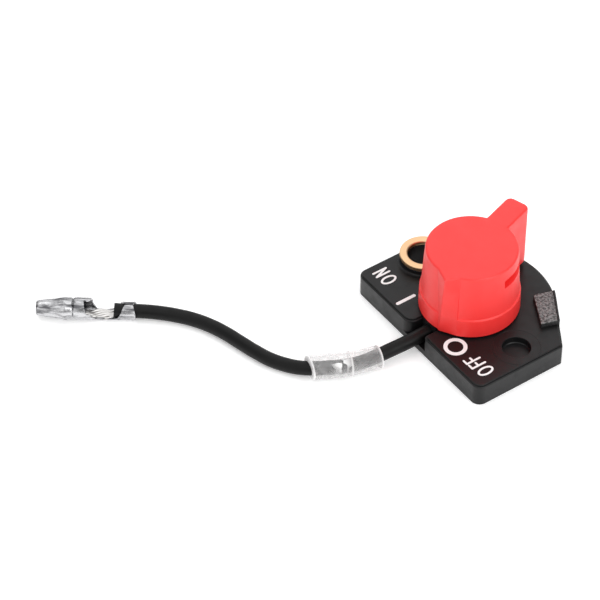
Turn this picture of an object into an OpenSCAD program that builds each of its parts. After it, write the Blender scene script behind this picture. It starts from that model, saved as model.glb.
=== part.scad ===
// Rotary engine stop switch: a black plate with a red knob, a brass earth ring and one lead.
// The origin is on the knob's axis at the mounting face; +X is the ON side, +Y is the side the lead leaves.

/* [Plate] */
// Width of the plate across X
plate_w = 41.6; // [40:0.2:46]
// Distance from the knob's axis to the straight front edge
plate_front = 13.6; // [13:0.1:16]
// Thickness of the plate
plate_t = 5.2; // [5.2:0.1:6]
// Radius of the rounded back edge
plate_back_r = 18; // [17.6:0.1:19]
// Distance from the knob's axis back to where each side edge ends
plate_side = 8.1; // [7:0.1:9]
// Inset of the raised top field from the outline
field_inset = 0.35; // [0.2:0.05:0.6]
// Height of the raised top field
field_h = 0.35; // [0.2:0.05:0.6]

/* [Mounting] */
// Distance between the screw hole and the round recess
hole_pitch = 31.6; // [31.4:0.1:32]
// Diameter of the screw hole, for an M6 screw
screw_hole_d = 6.6; // [6.4:0.1:6.8]
// Outer diameter of the brass ring round the screw hole
ring_d = 10; // [9.6:0.1:10]
// Height of the ring's face above the plate
ring_rise = 2.2; // [1.6:0.1:2.6]
// Diameter of the round recess on the OFF side
recess_d = 6; // [5:0.1:6.6]

/* [Knob] */
// Diameter of the knob's skirt
skirt_d = 21.1; // [20.8:0.1:22]
// Diameter of the knob's top
knob_top_d = 19.1; // [18.8:0.1:20]
// Height of the knob's top above the mounting face
knob_top_z = 21.1; // [20.6:0.1:22]
// Direction of the handle in the OFF position
handle_angle = -72; // [-73:1:-71]
// Width of the handle
handle_w = 5.3; // [5:0.1:5.4]
// Reach of the handle from the knob's axis
handle_reach = 17.3; // [16.5:0.1:17.5]

/* [Lead] */
// Diameter of the lead
lead_d = 3; // [2.8:0.1:3]
// Diameter of the bullet
bullet_d = 4.8; // [4.6:0.1:4.8]

/* [Hidden] */
$fn = 96;
gap = 0.1;              // clearance between flat faces that slide
fit = 0.05;             // radial running clearance
slip = 0.02;            // radial clearance of pieces that are seated by hand
eps = 0.01;             // cutters run this far past a face
half_w = plate_w / 2;
corner_r = 2;
hole_x = hole_pitch / 2;

// Contact chamber, from the mounting face up
cover_r = 10.7;
cover_t = 1.2;
strip_t = 0.5;
strip_top = cover_t + strip_t;
strip_w = 2.6;
chamber_r = 7.2;
chamber_top = 7.6;
turret_r = 8.4;
turret_top = 9;
hub_r = 5.2;
hub_top = 12.4;
seal_r = 0.56;
post_low = hub_top + 0.3;

// Rotor
rotor_r = chamber_r - 0.3;
rotor_low = 3.2;
rotor_high = chamber_top - gap;
rotor_foot_r = 3.4;
shaft_r = 3;
shaft_top = post_low;
spigot_r = 2.4;
spigot_top = 16;
spigot_flat = 1.9;
skirt_low = plate_t + 0.4;

// Screws
screw_r = 1.5;
screw_top = 17.6;
head_r = 2.5;
head_low = cover_t + 0.25;
head_h = 1.3;
washer_t = 0.4;
washer_low = head_low + head_h;
washer_high = washer_low + washer_t;
cover_screw_r = 1;
cover_screw_ring = 8.9;
cover_screw_top = 4.4;
cover_head_r = 1.55;

// Detent
ball_r = 1.25;
ball_z = 5.55;
ball_ring = chamber_r - 0.7;
pocket_end = 3.6;
detent_angles = [150, 330];
throw_angle = 36;
detent_seat = 0.25;

// Bridging contact
bridge_t = 0.4;
bridge_low = strip_top + gap;
bridge_in = 3.7;
bridge_out = 6.4;
bridge_angles = [-10, 100];
spring_pocket_r = 1.75;
spring_pocket_top = 4.2;
spring_ring = 5;
spring_angle = 45;

// Stop blocks: the handle's side meets one at each end of its travel
block_top = 6.5;
block_near = handle_w / 2 + 0.15;
block_far = 11.4;
block_inner = [13, 11.5];   // distance of the inner edge from the knob's axis, near and far from the handle
block_wall = 0.5;

// Boss round the screw hole, its brass ring and the recess on the other side
ring_t = 1;
ring_top = plate_t + ring_rise;
boss_r = 4.95;
boss_top = ring_top - ring_t;
leg_x = [-4.25, -3.75];   // the leg's faces, from the hole's axis
recess_deep = 1.6;

// Knob
handle_low = 6.25;
shoulder_z = 10.2;
shoulder_r = 10.2;
knob_wall = 1.4;
roof_t = 1.5;
post_r = 4.2;
nose = [[8.9, 144], [11.55, 184.4], [8.9, 202.6]];   // radius and angle from the handle: flat, tip, step
notch_z = [16.4, 18.5];
notch_angles = [-102, -40];   // from the handle
notch_deep = 0.9;

// Markings, as thin print
print_t = 0.06;
stroke = 0.45;
letter_h = 3.7;
letter_w = 2.2;
on_letters = [[15.1, 7.65], [17.7, 7.65]];
off_letters = [[-17.5, 7.4], [-14.95, 7.6], [-13.3, 7.7]];
on_bar_at = [8.27, 10.12];
on_bar_half = 2.1;
on_bar_w = 0.75;
off_ring_at = [-8.57, 10.08];
off_ring_r = [1.63, 2.46];

// Slot and clamp of the lead
slot_half = 2.3;
slot_corner_r = [2.2, 1];   // at the mouth, on the ON and OFF sides
slot_floor = 1.45;
barrel_y = [7.3, 8.5];
clamp_y = [8.9, 10.3];

// Lead: the route's points, from the lead contact to the terminal
lead_route = [
    [0, 8.8, 3], [0, 11.4, 3], [-0.1, 14, 3], [0, 17, 2.9], [0.3, 20, 2.7], [0.5, 22.8, 2.6],
    [1, 25.8, 2.35], [1.8, 28.6, 2.15], [2.8, 30.8, 2.1], [4.1, 33.1, 2.1], [5.4, 35.3, 2.15],
    [7.5, 37.4, 1.8], [10.3, 39.3, 1.5], [13.2, 40.9, 1.5], [16.8, 42.1, 1.5], [20.7, 43.1, 1.5],
    [24.7, 44.1, 1.5], [28.3, 45.4, 1.5], [31.6, 47.1, 1.5], [34.4, 49.1, 1.5], [36.9, 51.4, 1.6],
    [39, 53.8, 1.75], [40.8, 56.2, 1.88], [42, 57.9, 1.95], [43.2, 59.55, 2.15]];

// Clear sleeve on the lead: the route's points and the outer radius at each
sleeve_route = [
    [0.3, 22.7, 2.45], [1, 25.7, 2.5], [1.8, 28.6, 2.6], [2, 29, 2.65], [3.8, 32.7, 2.65], [5.8, 36.3, 2.6]];
sleeve_out = [2.42, 2.42, 2.45, 2.65, 2.65, 2.6];
sleeve_wall = 0.4;

// Terminal, along its own axis from the insulation crimp to the nose
term_at = [40.6, 56, 0];
term_angle = 53.7;
term_axis_z = 2.45;
term_wall = 0.4;
crimp_z = 1.9;
crimp_end = 2.8;
neck_end = 9.1;
neck_r = 2.1;
neck_z = 2.2;
groove_at = 12.8;
head_end = 14.8;
term_end = 20.5;
nose_r = 1.55;
core_r = 0.75;
stub_end = 4.6;

// --- helpers ---

// Points of an arc about c
function arc(c, r, from, to, steps) =
    [for (i = [0:steps]) let (a = from + (to - from) * i / steps) [c[0] + r * cos(a), c[1] + r * sin(a)]];

// Angle at which the straight chamfer from the side's end meets the round back edge
function chamfer_angle(w, back) = atan2(-plate_side, w) - acos(back / norm([w, plate_side]));

// Outline of the plate, set in by d
function outline(d) =
    let (w = half_w - d, front = plate_front - d, back = plate_back_r - d,
         r = corner_r - d, a = chamfer_angle(w, back))
    concat(arc([w - r, front - r], r, 0, 90, 6), arc([r - w, front - r], r, 90, 180, 6),
        [[-w, -plate_side]], arc([0, 0], back, 180 - a, 360 + a, 32), [[w, -plate_side]]);

module plate_2d(d = 0) { polygon(outline(d)); }

// Part of a ring between two radii and two angles
module sector_2d(r_in, r_out, from, to) {
    steps = max(2, ceil(abs(to - from) / 6));
    polygon(concat(arc([0, 0], r_out, from, to, steps), arc([0, 0], r_in, to, from, steps)));
}

module sector(r_in, r_out, from, to, low, high) {
    translate([0, 0, low]) linear_extrude(high - low) sector_2d(r_in, r_out, from, to);
}

module disc(r, low, high) { translate([0, 0, low]) cylinder(h = high - low, r = r); }

module ring(r_in, r_out, low, high) {
    difference() {
        disc(r_out, low, high);
        disc(r_in, low - eps, high + eps);
    }
}

// Box from one corner to the other
module block(low, high) { translate(low) cube(high - low); }

// Ring of points round p, square to the direction d
function hoop(p, d, r, sides) =
    let (side = cross([0, 0, 1], d) / norm(cross([0, 0, 1], d)), up = cross(d, side))
    [for (i = [0:sides - 1]) let (a = (i + 0.5) * 360 / sides) p + r * (cos(a) * side + sin(a) * up)];

function unit(v) = v / norm(v);

function direction(path, i) =
    let (n = len(path) - 1)
    unit(unit(path[min(i + 1, n)] - path[min(i, n - 1)]) + unit(path[max(i, 1)] - path[max(i - 1, 0)]));

// Round tube of radii r swept along path
module sweep(path, r, sides) {
    n = len(path);
    points = [for (i = [0:n - 1]) each hoop(path[i], direction(path, i), r[i], sides)];
    walls = [for (i = [0:n - 2]) for (j = [0:sides - 1])
        let (a = i * sides + j, b = i * sides + (j + 1) % sides) [a, a + sides, b + sides, b]];
    first = [for (j = [0:sides - 1]) j];
    last = [for (j = [sides - 1:-1:0]) (n - 1) * sides + j];
    polyhedron(points, concat([first, last], walls));
}

// Coil spring drawn as stacked rings joined by a short riser
module coil(r, wire, height, turns) {
    pitch = (height - 2 * wire) / turns;
    for (i = [0:turns])
        translate([0, 0, wire + i * pitch]) rotate_extrude() translate([r, 0]) circle(r = wire, $fn = 16);
    translate([r, 0, wire]) cylinder(h = height - 2 * wire, r = wire * 0.9, $fn = 16);
}

// --- plate ---

// Both stop blocks, mirror images of each other
module stop_blocks_2d() {
    for (side = [0, 1]) mirror([side, 0]) rotate(handle_angle - throw_angle)
        polygon([[block_inner[0], -block_near], [block_inner[1], -block_far],
            [half_w, -block_far], [half_w, -block_near]]);
}

// Opening of the lead's slot in the front edge, d wider all round
module slot_2d(d) {
    sides = [for (r = slot_corner_r) concat([[slot_half + d, chamber_r - 1]],
        arc([slot_half + r, plate_front - r], r - d, 180, 90, 6), [[slot_half + r, plate_front + 1]])];
    polygon(concat(sides[0], [for (i = [len(sides[1]) - 1:-1:0]) [-sides[1][i][0], sides[1][i][1]]]));
}

module lead_slot() {
    field_low = plate_t - field_h;
    translate([0, 0, slot_floor]) linear_extrude(field_low - slot_floor + eps) slot_2d(0);
    translate([0, 0, field_low]) linear_extrude(1 + field_h) slot_2d(field_inset);
    block([-slot_half, chamber_r - 1, cover_t - eps], [slot_half, clamp_y[1] + gap, slot_floor + eps]);
}

module cover_screw_places() {
    for (a = [45:90:315]) rotate(a) translate([cover_screw_ring, 0, 0]) children();
}

module housing() color([0.14, 0.14, 0.145]) difference() {
    union() {
        linear_extrude(plate_t - field_h) plate_2d();
        linear_extrude(plate_t) plate_2d(field_inset);
        disc(turret_r, plate_t - eps, turret_top);
        disc(hub_r, turret_top - eps, hub_top);
        translate([hole_x, 0, 0]) disc(boss_r, plate_t - 1, boss_top);
        // Wall behind each stop pad
        translate([0, 0, plate_t - 1]) linear_extrude(block_top - plate_t + 1) difference() {
            intersection() {
                plate_2d();
                stop_blocks_2d();
            }
            plate_2d(block_wall);
        }
    }
    // Contact chamber, its ball track and the seats at both ends of the track
    disc(cover_r + gap, -eps, cover_t);
    disc(chamber_r, 0, chamber_top);
    for (a = detent_angles) {
        rotate(a - throw_angle) rotate_extrude(angle = throw_angle) translate([ball_ring, ball_z])
            circle(r = ball_r + fit, $fn = 32);
        for (seat = [a, a - throw_angle]) rotate(seat) translate([ball_ring + detent_seat, 0, ball_z])
            sphere(r = ball_r + fit, $fn = 32);
    }
    // Hub bore and seal seat
    disc(shaft_r + fit, chamber_top - 1, hub_top + 1);
    disc(hub_r - 1, hub_top - 1.6, hub_top + 1);
    lead_slot();
    // Screw hole, the slot for the ring's leg and the earth strip's trench
    translate([hole_x, 0, 0]) {
        disc(screw_hole_d / 2, -1, boss_top + 1);
        block([leg_x[0] - slip, -strip_w / 2 - slip, cover_t],
            [leg_x[1] + slip, strip_w / 2 + slip, boss_top + 1]);
    }
    block([chamber_r - 1, -strip_w / 2 - gap, -1], [hole_x + leg_x[1] + slip, strip_w / 2 + gap, strip_top]);
    translate([-hole_x, 0, 0]) disc(recess_d / 2, plate_t - recess_deep, plate_t + 1);
    cover_screw_places() disc(cover_screw_r, 0, cover_screw_top);
}

module stop_pads() color([0.55, 0.55, 0.55])
    translate([0, 0, plate_t]) linear_extrude(block_top - plate_t) intersection() {
        plate_2d(block_wall);
        stop_blocks_2d();
    }

module earth_ring() color([0.87, 0.72, 0.45]) translate([hole_x, 0, 0]) {
    ring(screw_hole_d / 2, ring_d / 2, boss_top, ring_top);
    // Leg down to the earth strip
    block([leg_x[0], -strip_w / 2, strip_top], [leg_x[1], strip_w / 2, boss_top + eps]);
}

module back_cover() color([0.3, 0.2, 0.13]) difference() {
    disc(cover_r, 0, cover_t);
    cover_screw_places() translate([0, 0, -eps])
        cylinder(h = cover_t + 2 * eps, r1 = cover_head_r + 0.15, r2 = cover_screw_r + slip);
}

module cover_screws() color([0.72, 0.72, 0.7]) cover_screw_places() difference() {
    union() {
        disc(cover_screw_r - slip, 0.15, cover_screw_top - gap);
        translate([0, 0, 0.15]) cylinder(h = cover_t - 0.2, r1 = cover_head_r, r2 = cover_screw_r - slip);
    }
    for (a = [0, 90]) rotate(a) block([-0.9, -0.15, 0], [0.9, 0.15, 0.6]);
}

// --- contacts ---

module earth_strip() color([0.85, 0.68, 0.36])
    block([bridge_in + 0.3, -strip_w / 2, cover_t], [hole_x + leg_x[1], strip_w / 2, strip_top]);

module lead_contact() color([0.85, 0.68, 0.36]) {
    lead_z = lead_route[0][2];
    block([-strip_w / 2, bridge_in + 0.3, cover_t], [strip_w / 2, barrel_y[1], strip_top]);
    // Crimp barrel round the core
    difference() {
        union() {
            translate([0, barrel_y[1], lead_z]) rotate([90, 0, 0])
                cylinder(h = barrel_y[1] - barrel_y[0], r = core_r + 0.45);
            block([-0.6, barrel_y[0], strip_top - eps], [0.6, barrel_y[1], lead_z]);
        }
        translate([0, barrel_y[1] + 1, lead_z]) rotate([90, 0, 0]) cylinder(h = 4, r = core_r);
    }
}

module lead_clamp() color([0.1, 0.1, 0.1]) difference() {
    block([-slot_half + gap, clamp_y[0], cover_t + gap], [slot_half - gap, clamp_y[1], plate_t]);
    translate([0, clamp_y[1] + 1, lead_route[0][2]]) rotate([90, 0, 0])
        cylinder(h = 4, r = lead_d / 2 + slip);
}

module shaft_seal() color([0.08, 0.08, 0.08])
    translate([0, 0, hub_top - 0.9]) rotate_extrude() translate([shaft_r + fit + seal_r, 0])
        circle(r = seal_r, $fn = 32);

// --- turning pieces ---

module handle_2d() {
    r = 1.2;
    half = handle_w / 2;
    rotate(handle_angle) polygon(concat([[0, -half]], arc([handle_reach - r, r - half], r, -90, 0, 5),
        arc([handle_reach - r, half - r], r, 0, 90, 5), [[0, half]]));
}

module nose_2d() {
    rotate(handle_angle) polygon([[0, 0], for (p = nose) p[0] * [cos(p[1]), sin(p[1])]]);
}

module knob() color([0.86, 0.2, 0.2]) {
    inner_top = knob_top_z - roof_t;
    difference() {
        union() {
            rotate_extrude() polygon([[0, skirt_low], [skirt_d / 2, skirt_low],
                [skirt_d / 2 - 0.1, shoulder_z - 0.2], [shoulder_r, shoulder_z],
                [knob_top_d / 2, knob_top_z - 0.3], [knob_top_d / 2 - 0.3, knob_top_z], [0, knob_top_z]]);
            translate([0, 0, skirt_low]) linear_extrude(knob_top_z - skirt_low) nose_2d();
            translate([0, 0, handle_low]) linear_extrude(knob_top_z - handle_low) handle_2d();
        }
        // Hollow, with a central post left standing
        difference() {
            translate([0, 0, skirt_low - eps]) cylinder(h = inner_top - skirt_low + eps,
                r1 = skirt_d / 2 - knob_wall, r2 = knob_top_d / 2 - knob_wall - 0.6);
            disc(post_r, post_low, knob_top_z);
            for (a = [0:60:300]) rotate(a + handle_angle)
                block([post_r - 1, -0.5, post_low + 1], [skirt_d / 2, 0.5, knob_top_z]);
        }
        // Socket for the rotor's spigot and the screw's hole
        difference() {
            disc(spigot_r + slip, 0, spigot_top + gap);
            rotate(handle_angle) block([spigot_flat + slip, -5, 0], [6, 5, spigot_top + 1]);
        }
        disc(screw_r, 0, screw_top + 0.4);
        // Handle cored out from below
        rotate(handle_angle) block([skirt_d / 2 + 0.6, -handle_w / 2 + knob_wall, handle_low - eps],
            [handle_reach - knob_wall, handle_w / 2 - knob_wall, inner_top]);
        // Recess under the rim beside the handle
        sector(knob_top_d / 2 - notch_deep, knob_top_d, handle_angle + notch_angles[0],
            handle_angle + notch_angles[1], notch_z[0], notch_z[1]);
    }
}

module rotor() color([0.2, 0.2, 0.21]) difference() {
    union() {
        disc(rotor_r, rotor_low, rotor_high);
        disc(rotor_foot_r, cover_t + gap, rotor_low + eps);
        disc(shaft_r, rotor_high - eps, shaft_top);
        difference() {
            disc(spigot_r, shaft_top - eps, spigot_top);
            rotate(handle_angle) block([spigot_flat, -5, 0], [6, 5, spigot_top + 1]);
        }
    }
    disc(head_r + 0.25, 0, washer_high);
    disc(screw_r + slip, 0, spigot_top + 1);
    for (a = detent_angles) rotate(a) translate([pocket_end, 0, ball_z]) rotate([0, 90, 0])
        cylinder(h = rotor_r, r = ball_r + fit);
    rotate(spring_angle) translate([spring_ring, 0, 0]) disc(spring_pocket_r, 0, spring_pocket_top);
}

module knob_screw() color([0.75, 0.75, 0.73]) difference() {
    union() {
        disc(head_r, head_low, washer_low);
        disc(screw_r, washer_low - eps, screw_top);
    }
    for (a = [0, 90]) rotate(a) block([-1.5, -0.3, 0], [1.5, 0.3, head_low + 0.8]);
}

module screw_washer() color([0.7, 0.7, 0.68]) ring(screw_r + slip, head_r, washer_low, washer_high);

module bridge_contact() color([0.8, 0.55, 0.35])
    sector(bridge_in, bridge_out, bridge_angles[0], bridge_angles[1], bridge_low, bridge_low + bridge_t);

module contact_spring() color([0.7, 0.7, 0.7])
    rotate(spring_angle) translate([spring_ring, 0, bridge_low + bridge_t])
        coil(1.15, 0.15, spring_pocket_top - bridge_low - bridge_t, 4);

module detent_balls() color([0.8, 0.8, 0.82])
    for (a = detent_angles) rotate(a) translate([ball_ring, 0, ball_z]) sphere(r = ball_r);

module detent_springs() color([0.7, 0.7, 0.7])
    for (a = detent_angles) rotate(a) translate([pocket_end, 0, ball_z]) rotate([0, 90, 0])
        coil(0.95, 0.15, ball_ring - pocket_end - 0.9, 4);

// --- markings ---

// Straight stroke between two points, with round ends
module bar(a, b, w) {
    d = b - a;
    translate(a) rotate(atan2(d[1], d[0])) {
        translate([0, -w / 2]) square([norm(d), w]);
        circle(d = w, $fn = 16);
        translate([norm(d), 0]) circle(d = w, $fn = 16);
    }
}

module polyline(points) {
    for (i = [0:len(points) - 2]) bar(points[i], points[i + 1], stroke);
}

// Letters stand on the line y = 0 and are centred on x = 0
module letter_o() {
    h = (letter_h - stroke) / 2;
    w = (letter_w - stroke) / 2;
    points = [for (i = [0:24]) let (a = i * 15) [w * cos(a), h * sin(a) + letter_h / 2]];
    polyline(points);
}

module letter_n() {
    w = 0.62;
    polyline([[-w, stroke / 2], [-w, letter_h - stroke / 2], [w, stroke / 2], [w, letter_h - stroke / 2]]);
}

module letter_f() {
    w = 0.55;
    polyline([[-w, stroke / 2], [-w, letter_h - stroke / 2], [w, letter_h - stroke / 2]]);
    bar([-w, letter_h * 0.52], [w * 0.7, letter_h * 0.52], stroke);
}

module print_layer() color("white") translate([0, 0, plate_t]) linear_extrude(print_t) children();

module on_marking() print_layer() {
    translate(on_letters[0]) letter_o();
    translate(on_letters[1]) letter_n();
    translate(on_bar_at) bar([0, -on_bar_half], [0, on_bar_half], on_bar_w);
}

module off_marking() print_layer() {
    translate(off_letters[0]) letter_o();
    translate(off_letters[1]) letter_f();
    translate(off_letters[2]) letter_f();
    translate(off_ring_at) difference() {
        circle(r = off_ring_r[1]);
        circle(r = off_ring_r[0]);
    }
}

// --- lead ---

module lead() color([0.13, 0.13, 0.13]) {
    sweep(lead_route, [for (p = lead_route) lead_d / 2], 8);
}

// Places a shape drawn along +X into the terminal's place on the surface
module at_terminal(z) { translate(term_at + [0, 0, z]) rotate(term_angle) children(); }

// Cylinder along +X
module rod(r, from, to) {
    translate([from, 0, 0]) rotate([0, 90, 0]) cylinder(h = to - from, r = r, $fn = 48);
}

module bullet_terminal() color([0.8, 0.8, 0.8]) {
    r = bullet_d / 2;
    // Head: rolled tube with a groove and a tapered nose
    at_terminal(term_axis_z) rotate([0, 90, 0]) rotate_extrude($fn = 64)
        polygon([[r - term_wall, neck_end], [r, neck_end], [r, groove_at - 0.2], [r - 0.25, groove_at],
            [r, groove_at + 0.2], [r, head_end], [r - 0.35, 16.6], [nose_r + 0.15, 20], [nose_r, term_end],
            [0.5, term_end], [0.5, 20], [r - term_wall - 0.6, 16.4], [r - term_wall, 14]]);
    // Neck: the lower half of the tube, open at the top
    at_terminal(neck_z) difference() {
        rod(neck_r, crimp_end, neck_end + 0.3);
        rod(neck_r - term_wall, crimp_end - 1, neck_end + 1);
        block([0, -5, 0], [neck_end + 1, 5, 5]);
    }
    // Insulation crimp
    at_terminal(crimp_z) difference() {
        rod(lead_d / 2 + slip + term_wall, 0, crimp_end);
        rod(lead_d / 2 + slip, -1, crimp_end + 1);
    }
}

module lead_core() color([0.8, 0.5, 0.3]) {
    translate(lead_route[0]) rotate([90, 0, 0])
        cylinder(h = lead_route[0][1] - barrel_y[0], r = core_r - slip);
    at_terminal(crimp_z - 0.6) rod(core_r, stub_end, neck_end + 1.4);
}

module insulating_sleeve() color([0.85, 0.87, 0.88], 0.5) difference() {
    sweep(sleeve_route, sleeve_out, 12);
    bore = concat([sleeve_route[0] - direction(sleeve_route, 0)],
        [for (i = [1:len(sleeve_route) - 2]) sleeve_route[i]],
        [sleeve_route[len(sleeve_route) - 1] + direction(sleeve_route, len(sleeve_route) - 1)]);
    sweep(bore, [for (r = sleeve_out) r - sleeve_wall], 12);
}

housing();
stop_pads();
earth_ring();
on_marking();
off_marking();
back_cover();
cover_screws();
earth_strip();
lead_contact();
lead_clamp();
shaft_seal();
knob();
rotor();
knob_screw();
screw_washer();
bridge_contact();
contact_spring();
detent_balls();
detent_springs();
lead();
lead_core();
insulating_sleeve();
bullet_terminal();
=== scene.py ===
"""Looks of a rotary engine stop switch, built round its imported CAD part.

Pieces are modelled in millimetres and their finished meshes are in metres, in the part's own frame:
the knob turns about +Z, +X is the ON side and the lead leaves towards +Y.
"""
import math

import bmesh
import bpy
from mathutils import Matrix, Vector, noise


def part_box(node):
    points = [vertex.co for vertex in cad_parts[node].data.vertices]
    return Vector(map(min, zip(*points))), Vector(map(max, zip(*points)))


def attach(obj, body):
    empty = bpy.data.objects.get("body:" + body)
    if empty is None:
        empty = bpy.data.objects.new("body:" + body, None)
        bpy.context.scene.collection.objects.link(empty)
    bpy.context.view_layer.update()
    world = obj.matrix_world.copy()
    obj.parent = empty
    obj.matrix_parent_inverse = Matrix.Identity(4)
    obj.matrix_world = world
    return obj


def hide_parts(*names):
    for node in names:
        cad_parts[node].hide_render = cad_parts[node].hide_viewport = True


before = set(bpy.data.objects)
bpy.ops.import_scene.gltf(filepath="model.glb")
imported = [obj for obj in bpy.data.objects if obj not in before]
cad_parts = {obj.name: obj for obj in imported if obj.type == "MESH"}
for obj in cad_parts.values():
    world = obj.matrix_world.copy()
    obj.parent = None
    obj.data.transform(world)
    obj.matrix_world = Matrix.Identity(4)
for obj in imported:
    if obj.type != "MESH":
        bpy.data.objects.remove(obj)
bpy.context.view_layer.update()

MM = 0.001
FULL = 2 * math.pi


def box_mm(node):
    low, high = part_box(node)
    return low / MM, high / MM


# --- sizes, in millimetres, from the frame where it has them ---

plate_box = box_mm("housing")
pad_box = box_mm("stop_pads")
ring_box = box_mm("earth_ring")
knob_box = box_mm("knob")

# Plate: its straight sides end PLATE_SIDE behind the axis, its front and back corners have two radii, and
# a ledge runs round its raised field
PLATE_HALF = plate_box[1].x
PLATE_FRONT = plate_box[1].y
PLATE_BACK = -plate_box[0].y
PLATE_TOP = pad_box[0].z
PLATE_SIDE = 8.1
PLATE_CORNERS = (2, 0.6)
FIELD_STEP = 0.35
LEDGE = PLATE_TOP - FIELD_STEP

# Walls of the stop blocks: how thick, how far sunk, and their two ends from the handle's line at a stop
BLOCK_TOP = pad_box[1].z
BLOCK_WALL = 0.5
BLOCK_SUNK = 0.6
BLOCK_NEAR = -2.8
BLOCK_FAR = -11.4
THROW = math.radians(36)

# Earth ring and the boss under it
RING_R = (ring_box[1].y - ring_box[0].y) / 2
HOLE_X = ring_box[1].x - RING_R
HOLE_R = 3.3
RING_TOP = ring_box[1].z
RING_T = 1.0
BOSS_R = RING_R - 0.05
BOSS_TOP = RING_TOP - RING_T

# Slot for the lead, with the radii of its mouth on the ON and the OFF side, and of its inner corners
SLOT_HALF = 2.3
SLOT_CORNERS = (2.2, 1.0)
SLOT_INNER = 0.3
SLOT_END = 8.7
SLOT_FLOOR = 1.45

# Knob: its two heights and its radius at the rim, its handle, and the height of the nose's shoulder
KNOB_LOW = knob_box[0].z
KNOB_TOP = knob_box[1].z
KNOB_RIM_R = 9.55
HANDLE = math.radians(-72)
HANDLE_HALF = 2.65
HANDLE_REACH = 17.3
HANDLE_CORNER = 1.25
HANDLE_LOW = 6.25
SHOULDER = 10.2

# Widths of the rounded edges
SOFT = {"ledge": 0.22, "field": 0.15, "block": 0.12, "pad": 0.2, "roof": 0.5, "nose": 0.25, "sleeve": 0.1}

# Lead, and where its terminal starts and points
LEAD_D = 3.0
TERM_AT = Vector((40.6, 56, 0))
TERM_TURN = math.radians(53.7)
TERM_PLACE = Matrix.Translation(TERM_AT) @ Matrix.Rotation(TERM_TURN, 4, "Z")


# --- shaping helpers ---

def polar(radius, angle, centre=(0, 0)):
    return Vector((centre[0] + radius * math.cos(angle), centre[1] + radius * math.sin(angle)))


def rounded(corners, steps=3, closed=True):
    """Points of an outline given by its corners, (x, y, radius). A corner of radius 0 stays sharp."""
    points = []
    last = len(corners) - 1
    for i, (x, y, radius) in enumerate(corners):
        here = Vector((x, y))
        if radius == 0 or (not closed and i in (0, last)):
            points.append(here)
            continue
        back = (Vector(corners[i - 1][:2]) - here).normalized()
        on = (Vector(corners[(i + 1) % (last + 1)][:2]) - here).normalized()
        half = back.angle(on) / 2
        centre = here + (back + on).normalized() * radius / math.sin(half)
        start = here + back * radius / math.tan(half) - centre
        end = here + on * radius / math.tan(half) - centre
        first = math.atan2(start.y, start.x)
        sweep = (math.atan2(end.y, end.x) - first + math.pi) % FULL - math.pi
        points += [polar(radius, first + sweep * k / steps, centre) for k in range(steps + 1)]
    return points


def loop_of(bm, points, height):
    """Joins flat points into a ring of edges at a height."""
    verts = [bm.verts.new((p[0], p[1], height)) for p in points]
    return [bm.edges.new((a, b)) for a, b in zip(verts, verts[1:] + verts[:1])]


def all_of(bm):
    return [*bm.verts, *bm.edges, *bm.faces]


def raised(bm, edges, rise):
    """Pulls a wall up from a ring of edges and returns the ring at its top."""
    made = bmesh.ops.extrude_edge_only(bm, edges=edges)["geom"]
    verts = [g for g in made if isinstance(g, bmesh.types.BMVert)]
    bmesh.ops.translate(bm, verts=verts, vec=(0, 0, rise))
    return [g for g in made if isinstance(g, bmesh.types.BMEdge) and len(g.link_faces) == 1]


def pulled(bm, faces, rise=0, keep=False):
    """Extrudes a patch of faces, lifts it and returns its vertices. The old faces go unless kept."""
    made = bmesh.ops.extrude_face_region(bm, geom=faces)["geom"]
    verts = [g for g in made if isinstance(g, bmesh.types.BMVert)]
    bmesh.ops.translate(bm, verts=verts, vec=(0, 0, rise))
    if not keep:
        bmesh.ops.delete(bm, geom=faces, context="FACES")
    return verts


def turned(bm, profile, at=(0, 0), steps=96, closed=False):
    """Spins a profile of (radius, height) about an upright axis and returns its two end rings."""
    verts = [bm.verts.new((at[0] + r, at[1], z)) for r, z in profile]
    pairs = list(zip(verts, verts[1:]))
    if closed:
        pairs.append((verts[-1], verts[0]))
    edges = [bm.edges.new(pair) for pair in pairs]
    before = set(bm.verts) - set(verts)
    bmesh.ops.spin(bm, geom=verts + edges, cent=(*at, 0), axis=(0, 0, 1), angle=FULL, steps=steps,
                   use_merge=True)
    made = [v for v in bm.verts if v not in before]
    bmesh.ops.remove_doubles(bm, verts=made, dist=1e-5)
    made = [v for v in bm.verts if v not in before]
    rims = {e for v in made for e in v.link_edges if len(e.link_faces) == 1}
    return [[e for e in rims if near(e, at, r, z)] for r, z in (profile[0], profile[-1])]


def near(edge, at, radius, height):
    """True where an edge lies on a circle of that radius and height."""
    return all(abs(math.hypot(v.co.x - at[0], v.co.y - at[1]) - radius) < 1e-3
               and abs(v.co.z - height) < 1e-3 for v in edge.verts)


def placed_ring(bm, verts, matrix):
    """Moves a circle of vertices by a matrix and returns its edges."""
    bmesh.ops.transform(bm, matrix=matrix, verts=verts)
    return list({e for v in verts for e in v.link_edges})


def swept(bm, profile, at, start, end, steps=64):
    """Spins a closed profile from one angle to another, in degrees: a solid arc with flat ends."""
    start, end = math.radians(start), math.radians(end)
    turn = Matrix.Rotation(start, 3, "Z")
    base = Vector((*at, 0))
    face = bm.faces.new([bm.verts.new(base + turn @ Vector((r, 0, z))) for r, z in profile])
    bmesh.ops.spin(bm, geom=[face], cent=base, axis=(0, 0, 1), angle=end - start, steps=steps)


def sharp_edges(bm, angle):
    """Edges between two faces that meet at more than that many degrees."""
    limit = math.radians(angle)
    return [e for e in bm.edges if len(e.link_faces) == 2 and e.calc_face_angle(0) > limit]


def soften(bm, edges, width, segments=3):
    """Rounds edges by a bevel of that width."""
    bmesh.ops.bevel(bm, geom=edges, offset=width, offset_type="OFFSET", segments=segments, profile=0.5,
                    affect="EDGES", clamp_overlap=True, material=-1)


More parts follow.
